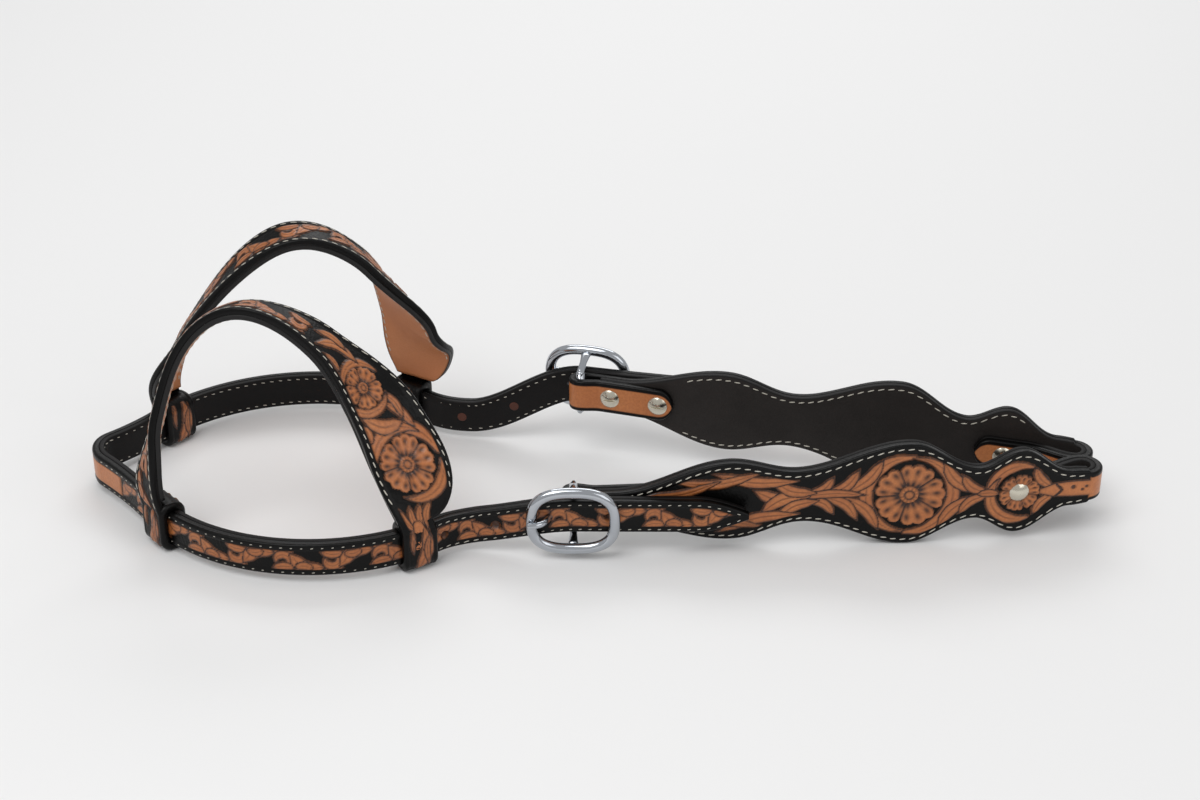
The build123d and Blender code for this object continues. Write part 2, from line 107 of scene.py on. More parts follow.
# Plans are arcs of (length, turn in degrees), where None is the ear's arc.  Rises are (start, length, rise).
CROWN_PLAN = {
    NEAR: ((12.5, 45.0), (43.5, -11.0), (None, EAR_ARC_ANGLE), (23.0, -44.5), (39.0, 6.0)),
    FAR: ((9.5, 48.0), (27.0, -13.5), (None, EAR_ARC_ANGLE), (20.0, -34.0), (26.0, 1.0), (32.0, 8.0)),
}
CROWN_RISES = {NEAR: ((-54.0, 54.0, 8.0),), FAR: ((-56.0, 56.0, 21.8),)}
CHEEK_PLAN = {NEAR: ((144.0, 1.0), (106.0, 11.0)), FAR: ((144.0, -8.0), (106.0, 1.0))}
CHEEK_RISES = {
    NEAR: ((0.0, 134.0, 6.4), (115.0, 125.0, -2.4)),
    FAR: ((0.0, 134.0, -5.8), (115.0, 125.0, -8.8)),
}

# Sheet grids, in millimetres between points along a strap and points across its face.
STEP_ALONG = 0.55
ACROSS = {"crown": 30, "ear": 54, "cheek": 84}
EDGE_ROUND = 1.1
STITCH_PITCH = 4.4
STITCH_LENGTH = 3.0
STITCH_SINK = 0.15
STITCH_INSET = 1.7
CHEEK_STITCH_INSET = 2.2
BORDER = 3.0
CHEEK_BORDER = 3.6
LINING_EDGE = 0.6


# ---------------- paths
def unit(v):
    return v / np.linalg.norm(v)


def smooth(t):
    t = min(max(t, 0.0), 1.0)
    return t * t * (3.0 - 2.0 * t)


def distances(points):
    """The distance of each point from the first, along the line through them."""
    return np.concatenate([[0.0], np.cumsum(np.linalg.norm(np.diff(points, axis=0), axis=1))])


def hermite(u, start, end, start_slope, end_slope):
    return (
        (2 * u ** 3 - 3 * u ** 2 + 1) * start + (u ** 3 - 2 * u ** 2 + u) * start_slope
        + (3 * u ** 2 - 2 * u ** 3) * end + (u ** 3 - u ** 2) * end_slope
    )


class StrapPath:
    """A strap's centre line: arcs in plan, with smooth rises, and the outward side of the headstall."""

    def __init__(self, start, heading, arcs, rises, bar_s, side):
        self.start = start[:2]
        self.z = start[2]
        self.heading = heading
        self.arcs = arcs
        self.rises = [(bar_s + s0, length, rise) for s0, length, rise in rises]
        self.side = side

    def plan(self, s):
        x, y = self.start
        h = self.heading
        last = len(self.arcs) - 1
        for i, (length, turn) in enumerate(self.arcs):
            step = s if i == last else min(s, length)
            k = -self.side * math.radians(turn) / length
            x += (math.sin(h + k * step) - math.sin(h)) / k
            y -= (math.cos(h + k * step) - math.cos(h)) / k
            h += k * step
            s -= step
            if s <= 0 and i < last:
                break
        return x, y, h

    def height(self, s):
        return self.z + sum(rise * smooth((s - s0) / length) for s0, length, rise in self.rises)

    def frame(self, s):
        """Point, tangent, outward normal and width direction at distance s."""
        x, y, h = self.plan(s)
        slope = self.height(s + 0.5) - self.height(s - 0.5)
        tangent = unit(np.array([math.cos(h), math.sin(h), slope]))
        outward = np.array([-self.side * math.sin(h), self.side * math.cos(h), 0.0])
        width = np.cross(outward, tangent) * -self.side
        return np.array([x, y, self.height(s)]), tangent, outward, width


def make_paths(side):
    arcs = [(EAR_ARC_RADIUS * math.radians(turn) if n is None else n, turn) for n, turn in CROWN_PLAN[side]]
    bar_s = sum(length for length, _ in arcs)
    cheek_arcs = CHEEK_PLAN[side]
    tail_turn = cheek_arcs[0][1] * BILLET_TAIL / cheek_arcs[0][0]
    start = (POLL[0], POLL[1], SLIDE_Z)
    arcs_and_tail = arcs + [(BILLET_TAIL, tail_turn)]
    crown = StrapPath(start, side * math.pi / 2, arcs_and_tail, CROWN_RISES[side], bar_s, side)
    crown.bar_s = bar_s
    crown.arc_s = arcs[0][0] + arcs[1][0]
    point, _, outward, _ = crown.frame(bar_s)
    heading = crown.plan(bar_s)[2] - side * math.radians(CHEEK_SPLAY)
    bar = point - outward * BAR_DROP
    cheek = StrapPath(bar, heading, cheek_arcs, CHEEK_RISES[side], 0.0, side)
    return crown, cheek


def spaced(start, end, step):
    count = max(2, int(math.ceil(abs(end - start) / step)) + 1)
    return np.linspace(start, end, count)


def cheek_width(s):
    for (s0, w0), (s1, w1) in zip(CHEEK_STATIONS, CHEEK_STATIONS[1:]):
        if s <= s1:
            t = max(0.0, (s - s0) / (s1 - s0))
            return w0 + (w1 - w0) * (1 - math.cos(math.pi * t)) / 2
    return CHEEK_STATIONS[-1][1]


def round_end(width, left, radius):
    if left >= radius:
        return width
    return max(2.0, width * math.sqrt(max(0.0, 1 - ((radius - left) / radius) ** 2)))


def crown_width(crown, s):
    left = crown.bar_s + BILLET_TAIL - s
    if left >= BILLET_POINT:
        return STRAP_WIDTH
    return BILLET_TIP + (STRAP_WIDTH - BILLET_TIP) * math.sin(math.pi / 2 * left / BILLET_POINT)


# ---------------- tooling: strokes in the leather's plane
class Carving:
    """Tooled motifs in (along, across) millimetres: each raises the face and keeps it undyed."""

    def __init__(self):
        self.strokes = []
        self.flowers = []
        self.pits = []

    def stroke(self, points, widths, rise=0.75, vein=0.5):
        """A carved ribbon along a curve through points, with half-widths at its points."""
        points = np.array(points, float)
        t = np.linspace(0, 1, len(points))
        fine = np.linspace(0, 1, 26)
        if len(points) > 2:
            line = np.stack([catmull(points[:, k], t, fine) for k in (0, 1)], 1)
        else:
            line = np.stack([np.interp(fine, t, points[:, k]) for k in (0, 1)], 1)
        half = np.interp(fine, np.linspace(0, 1, len(widths)), widths)
        self.strokes.append((line, half, rise, vein))

    def leaf(self, start, end, bow, width, rise=0.75, vein=0.6):
        start = np.array(start, float)
        end = np.array(end, float)
        side = np.array([-(end - start)[1], (end - start)[0]]) * bow
        mid = (start + end) / 2 + side
        widths = [width * 0.18, width * 0.85, width, width * 0.8, width * 0.05]
        self.stroke([start, mid, end], widths, rise, vein)

    def leaves(self, *rows, ways=(1,)):
        """Leaves from (start, end, bow, half-width) rows, repeated across the strap's middle for way -1."""
        for way in ways:
            for a0, b0, a1, b1, bow, width in rows:
                self.leaf((a0, b0 * way), (a1, b1 * way), bow * way, width)

    def scroll(self, centre, radius, start, sweep, width, rise=0.8, shrink=0.35):
        """A scroll that turns about centre and draws in towards its tip."""
        angles = np.radians(start + np.linspace(0, sweep, 9))
        reach = radius * (1 - shrink * np.linspace(0, 1, 9) ** 1.5)
        points = np.stack([centre[0] + reach * np.cos(angles), centre[1] + reach * np.sin(angles)], 1)
        self.stroke(points, [width * 0.35, width, width, width * 0.8, width * 0.15], rise, 0.55)

    def pit(self, centre, radius, depth):
        """A round hollow with an undyed floor, darkened as painted shade."""
        self.pits.append((centre, radius, depth))

    def flower(self, centre, radius, petals=5, turn=0.0):
        """Scalloped petals round a beaded button."""
        self.flowers.append((centre, radius, petals, turn))

    def cut(self, a, b):
        """Height, undyed share and painted shade along the cuts at points (a, b)."""
        height = np.zeros_like(a)
        tan = np.zeros_like(a)
        dark = np.zeros_like(a)
        for line, half, rise, vein in self.strokes:
            reach = half.max() + 1.5
            near = (a > line[:, 0].min() - reach) & (a < line[:, 0].max() + reach)
            near &= (b > line[:, 1].min() - reach) & (b < line[:, 1].max() + reach)
            if not near.any():
                continue
            pa = a[near]
            pb = b[near]
            best = np.full(pa.shape, 1e9)
            cross = np.zeros(pa.shape)
            where = np.zeros(pa.shape)
            for i in range(len(line) - 1):
                p = line[i]
                d = line[i + 1] - p
                size = max(np.hypot(*d), 1e-6)
                u = np.clip(((pa - p[0]) * d[0] + (pb - p[1]) * d[1]) / size ** 2, 0, 1)
                ra = pa - p[0] - u * d[0]
                rb = pb - p[1] - u * d[1]
                dist = np.hypot(ra, rb)
                width = half[i] + (half[i + 1] - half[i]) * u
                edge = dist - width
                side = np.sign(d[0] * rb - d[1] * ra) * dist / np.maximum(width, 0.2)
                closer = edge < best
                best = np.where(closer, edge, best)
                cross = np.where(closer, side, cross)
                where = np.where(closer, (i + u) / (len(line) - 1), where)
            inside = np.clip(0.5 - best / 0.5, 0, 1)
            dome = 0.55 + 0.45 * np.cos(np.clip(cross, -1, 1) * 1.5)
            lift = rise * inside * dome * (0.75 + 0.25 * where)
            groove = vein * np.exp(-(cross / 0.13) ** 2) * inside * (where > 0.08)
            beat = np.maximum(0, np.sin(where * 34 + np.abs(cross) * 4))
            ribs = 0.25 * vein * inside * beat * (np.abs(cross) > 0.2)
            # Painted shade: a dark outline along each cut, the vein groove and the ribs, and a soft halo
            # beside the cut darken the undyed tan.
            rim = np.exp(-((best + 0.1) / 0.42) ** 2)
            under = inside > 0.5
            cut_level = lift - 0.5 * groove - 0.3 * ribs
            height[near] = np.where(under, cut_level, height[near] - 0.25 * rim * (1 - inside))
            tan[near] = np.where(under, inside, np.maximum(tan[near], inside))
            painted_shade_halo = np.exp(-((best + 0.1) / 1.1) ** 2)
            painted_cut_shade = np.clip(0.9 * rim + 0.35 * painted_shade_halo + groove + 0.7 * ribs, 0, 1)
            dark[near] = np.where(under, painted_cut_shade, np.maximum(dark[near], 0.6 * rim))
        for flower in self.flowers:
            self.cut_flower(a, b, *flower, height, tan, dark)
        # Pit floors get painted shade.
        for centre, radius, depth in self.pits:
            r = np.hypot(a - centre[0], b - centre[1])
            inside = np.clip(0.5 - (r - radius) / 0.5, 0, 1)
            height = height - depth * inside
            dark = np.maximum(dark, 0.9 * inside)
            tan = np.maximum(tan, inside)
        return height, tan, dark

    @staticmethod
    def cut_flower(a, b, centre, radius, petals, turn, height, tan, dark):
        """Cuts a flower into height, tan and dark in place; the dark is painted shade."""
        r = np.hypot(a - centre[0], b - centre[1])
        near = r < radius * 1.15
        q = r[near] / radius
        angle = np.arctan2(b[near] - centre[1], a[near] - centre[0]) + turn
        p = np.mod(angle * petals / (2 * math.pi), 1.0) * 2 - 1
        notch = np.abs(np.cos(1.5 * math.pi * p))
        outline = 0.76 + 0.13 * (1 - p ** 4) + 0.09 * notch ** 0.7
        edge = (q - outline) * radius
        inside = np.clip(0.5 - edge / 0.5, 0, 1)
        # Painted shade: dark in the gaps between petals, in the teardrops and rays, towards the heart, in
        # the button's core and between its beads, round its ring and along the outline.
        gap = np.exp(-((1 - np.abs(p)) / 0.10) ** 2) * (q > 0.30)
        near_tear = np.minimum(np.abs(p), np.abs(np.abs(p) - 2 / 3))
        tear = np.exp(-((q - 0.72 * outline / 0.95) / 0.12) ** 2) * np.exp(-(near_tear / 0.17) ** 2)
        rays = np.clip((0.70 - q) / 0.35, 0, 1) * (0.5 + 0.5 * np.cos(p * 3 * math.pi)) * (q > 0.27)
        heart = np.clip((0.52 - q) / 0.24, 0, 1) * (q > 0.27)
        button = q < 0.25
        beads = 0.5 + 0.5 * np.cos(angle * 12) * np.exp(-((q - 0.20) / 0.05) ** 2)
        ring = np.exp(-((q - 0.265) / 0.022) ** 2)
        core = np.exp(-((q - 0.13) / 0.03) ** 2)
        cup = 0.30 + 0.85 * np.clip((q - 0.25) / 0.6, 0, 1)
        petal_level = cup - 0.8 * gap - 0.75 * tear - 0.3 * rays
        level = np.where(button, 0.65 + 0.35 * beads - 0.5 * core, petal_level) - 0.6 * ring
        petal_shade = np.clip(gap + 0.95 * tear + 0.6 * rays + 0.75 * heart, 0, 1)
        shade = np.where(button, 0.75 * core + 0.5 * (1 - beads), petal_shade)
        shade = np.maximum(shade, 0.9 * ring)
        rim = np.exp(-((edge + 0.05) / 0.45) ** 2)
        shade = np.maximum(shade, 0.7 * rim)
        height[near] = np.where(inside > 0.5, level, height[near] - 0.3 * rim)
        tan[near] = np.where(inside > 0.5, inside, tan[near])
        dark[near] = np.where(inside > 0.5, shade, np.maximum(dark[near], 0.6 * rim))


def catmull(values, t, fine):
    """A smooth curve through values at t."""
    slope = np.gradient(values, t)
    out = np.empty_like(fine)
    for n, x in enumerate(fine):
        i = min(int(np.searchsorted(t, x, side="right")) - 1, len(t) - 2)
        h = t[i + 1] - t[i]
        u = (x - t[i]) / h
        out[n] = hermite(u, values[i], values[i + 1], h * slope[i], h * slope[i + 1])
    return out


# ---------------- meshes
def mesh_object(name, vertices, faces, material, attributes=None):
    mesh = bpy.data.meshes.new(name)
    mesh.from_pydata((np.asarray(vertices) * MM).tolist(), [], [list(map(int, f)) for f in faces])
    for key, values in (attributes or {}).items():
        layer = mesh.attributes.new(key, "FLOAT", "POINT")
        layer.data.foreach_set("value", np.asarray(values, np.float32))
    mesh.polygons.foreach_set("use_smooth", [True] * len(mesh.polygons))
    mesh.update()
    obj = bpy.data.objects.new(name, mesh)
    bpy.context.scene.collection.objects.link(obj)
    mesh.materials.append(material)
    return obj


def dress(body, *pieces):
    """Attaches each piece of the (piece, slot) pairs to the body that it rides; the slot is not used."""
    for piece, slot in pieces:
        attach(piece, body)


class Sheet:
    """A closed leather sheet: stations of (point, across, up, low, high, along), and its two levels."""

    def __init__(self, stations, bottom, top, columns, closed=False, edge=EDGE_ROUND):
        columns_of = [np.array(column) for column in zip(*stations)]
        self.points, self.across, self.up, self.low, self.high, self.along = columns_of
        self.bottom = bottom
        self.top = top
        self.columns = columns
        self.closed = closed
        self.edge = edge

    def build(self, name, material, face=None):
        """face(along, across, low, high) gives height, tan and dark over the top face."""
        count = len(self.points)
        low = self.low[:, None]
        high = self.high[:, None]
        edge = np.minimum(self.edge, (high - low) * 0.4)
        b = (low + edge) + (high - low - 2 * edge) * np.linspace(0, 1, self.columns)[None, :]
        a = np.repeat(self.along[:, None], self.columns, 1)
        height, tan, dark = face(a, b, low, high) if face else np.zeros((3,) + b.shape)
        level = self.top + height
        arcs = np.radians([68.0, 45.0, 22.0, 0.0])[None, :]
        high_b = high - edge + edge * np.cos(arcs)
        high_level = self.top - edge + edge * np.sin(arcs)
        under = np.minimum(edge, 0.25)
        base = np.array([[0.0, 0.5, 1.0]])
        under_high_b = high - under * base
        under_level = self.bottom + under * np.array([[1.0, 0.3, 0.0]])
        flat_b = high - under + (low + 2 * under - high) * np.linspace(0, 1, 6)[None, 1:-1]
        flat_level = np.full_like(flat_b, self.bottom)
        low_b = low + under * base[:, ::-1]
        low_level = under_level[:, ::-1]
        rise_b = low + edge - edge * np.cos(arcs[:, ::-1])
        rise_level = high_level[:, ::-1]
        loop_b = np.concatenate([b, high_b, under_high_b, flat_b, low_b, rise_b], 1)
        loop_level = np.concatenate([level, high_level, under_level, flat_level, low_level, rise_level], 1)
        ring = loop_b.shape[1]
        rest = ring - self.columns
        loop_tan = np.concatenate([tan, np.zeros((count, rest))], 1)
        loop_dark = np.concatenate([dark, np.ones((count, rest))], 1)
        vertices = (
            self.points[:, None, :] + self.across[:, None, :] * loop_b[:, :, None]
            + self.up[:, None, :] * loop_level[:, :, None]
        ).reshape(-1, 3)
        rows = np.arange(count if self.closed else count - 1)
        i, j = np.meshgrid(rows, np.arange(ring), indexing="ij")
        nxt = (i + 1) % count
        jn = (j + 1) % ring
        quads = np.stack([i * ring + j, nxt * ring + j, nxt * ring + jn, i * ring + jn], -1).reshape(-1, 4)
        handed = np.dot(np.cross(self.across[0], self.up[0]), self.points[1] - self.points[0])
        if handed < 0:
            quads = quads[:, ::-1]
        faces = quads.tolist()
        if not self.closed:
            first = list(range(ring))
            last = [(count - 1) * ring + k for k in range(ring)]
            faces += [first[::-1], last] if handed < 0 else [first, last[::-1]]
        values = {"tan": loop_tan.ravel(), "dark": loop_dark.ravel()}
        return mesh_object(name, vertices, faces, material, values)


def folded_stations(path, line):
    """Stations on a line of (distance, outward, width), so that the sheet can fold back along its path."""
    line = np.array(line)
    steps = np.gradient(line, axis=0)
    stations = []
    for (s, n, full), (ds, dn, _) in zip(line, steps):
        point, along, outward, width = path.frame(s)
        normal = unit(outward * ds - along * dn)
        stations.append([point + outward * n, width, normal, -full / 2, full / 2, s])
    return stations


def flipped(stations):
    """The same stations with up turned over, for a lining whose face looks the other way."""
    return [(point, width, -normal, low, high, s) for point, width, normal, low, high, s in stations]


class Stitches:
    """Rows of short slanted thread, collected into one mesh."""

    SECTION = 6
    RINGS = ((0.0, 0.35), (0.12, 0.85), (0.5, 1.0), (0.88, 0.85), (1.0, 0.35))

    def __init__(self, radius=0.32):
        self.radius = radius
        self.vertices = []
        self.faces = []

    def add(self, start, end, up):
        axis = unit(end - start)
        side = unit(np.cross(axis, up))
        top = np.cross(side, axis)
        base = len(self.vertices)
        for t, size in self.RINGS:
            sag = -0.45 * self.radius * (2 * t - 1) ** 2
            centre = start + (end - start) * t + top * sag
            for k in range(self.SECTION):
                angle = 2 * math.pi * k / self.SECTION
                offset = side * math.cos(angle) + top * math.sin(angle) * 0.8
                self.vertices.append(centre + offset * self.radius * size)
        n = self.SECTION
        for r in range(len(self.RINGS) - 1):
            for k in range(n):
                low = base + r * n
                self.faces.append((low + k, low + (k + 1) % n, low + n + (k + 1) % n, low + n + k))
        self.faces.append([base + k for k in range(n)][::-1])
        self.faces.append([base + (len(self.RINGS) - 1) * n + k for k in range(n)])

    def row(self, stations, inset, level, first=0.0, last=None, slant=0.22, sides=(0, 1), inside=1.0):
        """Thread along both edges of a sheet's stations, inset from the edge, standing at level."""
        points, across, ups, low, high, _ = [np.array(column) for column in zip(*stations)]
        run = distances(points)
        last = run[-1] if last is None else last

        def at(distance, which, shift):
            point, side, up = [
                np.array([np.interp(distance, run, column[:, k]) for k in range(3)])
                for column in (points, across, ups)
            ]
            edge = np.interp(distance, run, high if which else low)
            b = edge + (-inset if which else inset) + shift
            return point + side * b + up * level, up * inside

        for which in sides:
            for distance in np.arange(first + 1.0, last - STITCH_LENGTH - 0.5, STITCH_PITCH):
                start, up = at(distance, which, -slant)
                end, _ = at(distance + STITCH_LENGTH, which, slant)
                self.add(start, end, up)

    def build(self, name, material):
        return mesh_object(name, self.vertices, self.faces, material)


# ---------------- materials
class Nodes:
    """A short way to write a node material."""

    def __init__(self, name):
        self.material = bpy.data.materials.new(name)
        self.material.use_nodes = True
        self.tree = self.material.node_tree
        self.shader = self.tree.nodes["Principled BSDF"]

    def add(self, kind, **values):
        node = self.tree.nodes.new(kind)
        for key, value in values.items():
            if key in node.inputs:
                node.inputs[key].default_value = value
            else:
                setattr(node, key, value)
        return node

    def link(self, source, target):
        self.tree.links.new(source, target)

    def shade(self, name, value):
        """Sets an input of the shader to a number or a colour, or feeds it from a node."""
        if isinstance(value, (float, tuple)):
            self.shader.inputs[name].default_value = value
        else:
            self.link(value, self.shader.inputs[name])

    def attribute(self, name):
        return self.add("ShaderNodeAttribute", attribute_name=name).outputs["Fac"]

    def texture(self, kind, output, **values):
        node = self.add(kind, **values)
        self.link(self.add("ShaderNodeTexCoord").outputs["Object"], node.inputs["Vector"])
        return node.outputs[output]

    def noise(self, scale, detail=4.0, roughness=0.6):
        return self.texture("ShaderNodeTexNoise", "Fac", Scale=scale, Detail=detail, Roughness=roughness)

    def pores(self, scale):
        return self.texture("ShaderNodeTexVoronoi", "Distance", Scale=scale)

    def ramp(self, value, low, high, start=0.0, end=1.0):
        limits = {"From Min": start, "From Max": end, "To Min": low, "To Max": high}
        node = self.add("ShaderNodeMapRange", **limits)
        self.link(value, node.inputs["Value"])
        return node.outputs["Result"]

    def mix(self, factor, a, b, blend="MIX"):
        node = self.add("ShaderNodeMix", data_type="RGBA", blend_type=blend)
        for value, socket in ((factor, node.inputs[0]), (a, node.inputs[6]), (b, node.inputs[7])):
            if isinstance(value, (float, int, tuple)):
                socket.default_value = value
            else:
                self.link(value, socket)
        return node.outputs[2]

    def bump(self, height, strength, distance, normal=None):
        node = self.add("ShaderNodeBump", Strength=strength, Distance=distance)
        self.link(height, node.inputs["Height"])
        if normal:
            self.link(normal, node.inputs["Normal"])
        return node.outputs["Normal"]


def rgb(red, green, blue):
    """A colour from 0-255 screen values."""
    def linear(v):
        v /= 255.0
        return v / 12.92 if v <= 0.04045 else ((v + 0.055) / 1.055) ** 2.4
    return (linear(red), linear(green), linear(blue), 1.0)


def tooled_leather():
    m = Nodes("tooled_leather")
    patch = m.noise(45.0)
    grain = m.noise(900.0, 3.0)
    tan = m.mix(patch, rgb(160, 88, 46), rgb(204, 132, 76))
    tan = m.mix(m.ramp(grain, 0.0, 0.4, 0.35, 0.75), tan, rgb(132, 68, 38))
    # Painted shade: the dark attribute darkens the tan to deep brown in the cuts, pits and flowers.
    tan = m.mix(m.attribute("dark"), tan, rgb(40, 18, 11))
    black = m.mix(patch, rgb(3, 3, 3), rgb(10, 9, 9))
    m.shade("Base Color", m.mix(m.attribute("tan"), black, tan))
    m.shade("Roughness", m.ramp(patch, 0.26, 0.40))
    pores = m.bump(m.pores(1500.0), 0.18, 0.0003)
    m.shade("Normal", m.bump(grain, 0.25, 0.0004, pores))
    m.shade("Specular IOR Level", m.ramp(m.attribute("tan"), 0.14, 0.45))
    m.shade("Coat Weight", 0.06)
    m.shade("Coat Roughness", 0.2)
    return m.material


def lining_leather(name, light, deep, rough, shine=0.4):
    m = Nodes(name)
    patch = m.noise(60.0)
    grain = m.noise(1400.0, 3.0)
    colour = m.mix(patch, light, deep)
    colour = m.mix(m.ramp(grain, 0.0, 0.45, 0.4, 0.8), colour, deep)
    m.shade("Base Color", m.mix(m.attribute("dark"), colour, rgb(12, 10, 10)))
    m.shade("Roughness", m.ramp(grain, rough, rough + 0.15))
    m.shade("Specular IOR Level", shine)
    pores = m.bump(m.pores(2200.0), 0.2, 0.0002)
    m.shade("Normal", m.bump(grain, 0.3, 0.0003, pores))
    return m.material


def thread():
    m = Nodes("waxed_thread")
    twist = m.noise(2600.0, 2.0)
    m.shade("Base Color", m.mix(twist, rgb(160, 154, 142), rgb(214, 210, 198)))
    m.shade("Roughness", 0.6)
    m.shade("Normal", m.bump(twist, 0.5, 0.0003))
    return m.material


def metal(name, colour, low, high, wear):
    m = Nodes(name)
    smear = m.noise(120.0)
    scratch = m.noise(1800.0, 2.0)
    m.shade("Base Color", m.mix(smear, colour, tuple(c * 0.86 for c in colour[:3]) + (1.0,)))
    m.shade("Metallic", 1.0)
    m.shade("Roughness", m.ramp(smear, low, high))
    m.shade("Normal", m.bump(scratch, wear, 0.0001))
    return m.material


TOOLED = tooled_leather()
DARK_LINING = lining_leather("dark_lining", rgb(50, 46, 44), rgb(32, 29, 28), 0.45, 0.2)
NATURAL_LINING = lining_leather("natural_lining", rgb(196, 130, 84), rgb(168, 102, 62), 0.42)
THREAD = thread()
CHROME = metal("buckle_chrome", rgb(188, 192, 198), 0.05, 0.14, 0.04)
NICKEL = metal("nickel_screw", rgb(214, 208, 192), 0.14, 0.26, 0.08)
# Dark reddish brown painted as the shade inside the adjustment holes.
HOLE = lining_leather("punched_hole", rgb(96, 52, 36), rgb(60, 32, 24), 0.6)


# ---------------- tooled faces
def bordered(carving, inset, low, high, a, b, matting=0.28):
    """A carved face inside a black border: height, tan, dark."""
    height, tan, dark = carving.cut(a, b)
    inner = np.minimum(b - low, high - b) - inset
    field = np.clip(inner / 0.5, 0, 1)
    line = np.exp(-(inner / 0.35) ** 2)
    stipple = 0.10 * (np.sin(a * 5.1 + 3.0 * np.sin(b * 2.3)) * np.sin(b * 5.7 + 2.0 * np.sin(a * 1.9)))
    ground = -matting + stipple
    height = np.where(field > 0, np.where(tan > 0.3, height - 0.25, ground) * field, 0.0) - 0.25 * line
    return height, tan * field, dark


def running_leaves(carving, start, end, half, period, flip=1.0):
    """S-leaves with a curl between them, along a narrow strap."""
    s = start
    k = 0
    while s < end:
        way = flip * (1 if k % 2 == 0 else -1)
        h = half * way
        carving.leaf((s - 0.10 * period, -0.55 * h), (s + 0.60 * period, 0.62 * h), 0.22 * way, half * 0.66)
        carving.leaf((s + 0.34 * period, 0.72 * h), (s - 0.02 * period, 0.62 * h), 0.16 * way, half * 0.42)
        carving.leaf((s + 0.95 * period, 0.78 * h), (s + 0.55 * period, 0.80 * h), 0.05 * way, half * 0.36)
        carving.scroll((s + 0.76 * period, -0.05 * h), half * 0.62, 190 * way, -270 * way, half * 0.40)
        carving.leaf((s + 0.52 * period, -0.78 * h), (s + 1.0 * period, -0.66 * h), 0.10 * way, half * 0.42)
        s += period
        k += 1


# ---------------- crown
PLAIN_POLL = 34.0
CROWN_RELIEF = 0.2  # the crown's tooling is beaten flat, so that rings and rims pass over it
MOUTH_SIDES = 20
MOUTH_RINGS = (  # radius and height above the strap's inner face, from a sunk tip to the dark disc
    (0.01, -0.5), (HOLE_RADIUS + 0.25, 0.02), (HOLE_RADIUS, 0.12), (HOLE_RADIUS * 0.8, 0.03),
)


def crown_sheets(paths):
    far = [(paths[FAR][0], s, -1) for s in spaced(paths[FAR][0].bar_s + BILLET_TAIL, 0.0, STEP_ALONG)]
    near = [(paths[NEAR][0], s, 1) for s in spaced(0.0, paths[NEAR][0].bar_s + BILLET_TAIL, STEP_ALONG)[1:]]
    stations = []
    for crown, s, sign in far + near:
        half = crown_width(crown, s) / 2
        point, _, outward, width = crown.frame(s)
        stations.append((point, width, outward, -half, half, s * sign))
    carving = Carving()
    for sign, side in ((1, NEAR), (-1, FAR)):
        end = paths[side][0].bar_s + BILLET_TAIL - 6.0
        part = Carving()
        running_leaves(part, PLAIN_POLL, end, 5.6, 21.0)
        for line, half, rise, vein in part.strokes:
            carving.strokes.append((line * np.array([sign, 1.0]), half, rise, vein))
        # Each adjustment hole is a shallow pit in the outer face, its floor darkened as painted shade.
        for step in HOLE_STEPS:
            hole = paths[side][0].bar_s + HOLE_OFFSET + HOLE_PITCH * step
            carving.pit((sign * hole, 0.0), HOLE_RADIUS, 1.5)

    def face(a, b, low, high):
        height, tan, dark = bordered(carving, BORDER, low, high, a, b)
        inner = np.minimum(b - low, high - b) - BORDER
        bare = np.clip((PLAIN_POLL - 3.0 - np.abs(a)) / 2.0, 0, 1) * np.clip(inner / 0.5, 0, 1)
        tan = np.maximum(tan, bare)
        height = np.where(height > 0, CROWN_RELIEF * height, height)
        return height * (1 - bare), tan, dark * (1 - bare)

    middle = -CROWN_THICK / 2 + LINING_THICK
    strap = Sheet(stations, middle + GLUE_LINE, CROWN_THICK / 2, ACROSS["crown"])
    strap = strap.build("crown_leather", TOOLED, face)
    lining = Sheet(stations[::3], -CROWN_THICK / 2, middle, 8, edge=0.5).build("crown_inner", DARK_LINING)
    sewing = Stitches()
    sewing.row(stations[::6], STITCH_INSET, CROWN_THICK / 2 - STITCH_SINK, first=9.0)
    sewing.row(stations[::6], STITCH_INSET, STITCH_SINK - CROWN_THICK / 2, first=9.0, inside=-1.0)
    seam = sewing.build("crown_stitching", THREAD)
    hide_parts("crown_strap")
    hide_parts("crown_lining")
    dress("crown", (strap, "tooled_leather"), (lining, "dark_lining"), (seam, "dark_lining"))
    punched_holes(paths)


def punched_holes(paths):
    """The adjustment holes on the crown's inner face: shallow dark discs, painted shade of the holes."""
    mouths = []
    for side, _ in SIDES:
        crown = paths[side][0]
        for step in HOLE_STEPS:
            point, along, outward, width = crown.frame(crown.bar_s + HOLE_OFFSET + HOLE_PITCH * step)
            rings = [
                oval(point - outward * (CROWN_THICK / 2 + lift), along * radius, width * radius, MOUTH_SIDES)
                for radius, lift in MOUTH_RINGS
            ]
            mouths.append(loft(rings, False))
    vertices, faces = joined(mouths)
    dress("crown", (mesh_object("crown_hole_mouths", vertices, faces, HOLE), "dark_lining"))


# ---------------- ears
EAR_SHAPE = (  # share of the way from front slide to rear slide, share of the height
    (0.0, 0.0), (0.0, 0.06), (-0.02, 0.13), (-0.035, 0.25), (-0.01, 0.47), (0.07, 0.74), (0.21, 0.93),
    (0.38, 1.0), (0.57, 0.925), (0.745, 0.73), (0.87, 0.48), (0.945, 0.27), (0.99, 0.13), (1.0, 0.06),
    (1.0, 0.0),
)
EAR_TWIST = (  # share of the length, degrees that the face turns from outward; None is as at the slide
    (0.0, None), (0.06, None), (0.20, 80.0), (0.45, 104.0), (0.62, 84.0), (0.78, 50.0), (0.88, 28.0),
    (0.95, None), (1.0, None),
)


def interpolate(keys, t):
    for (t0, v0), (t1, v1) in zip(keys, keys[1:]):
        if t <= t1:
            return v0 + (v1 - v0) * smooth((t - t0) / (t1 - t0))
    return keys[-1][1]


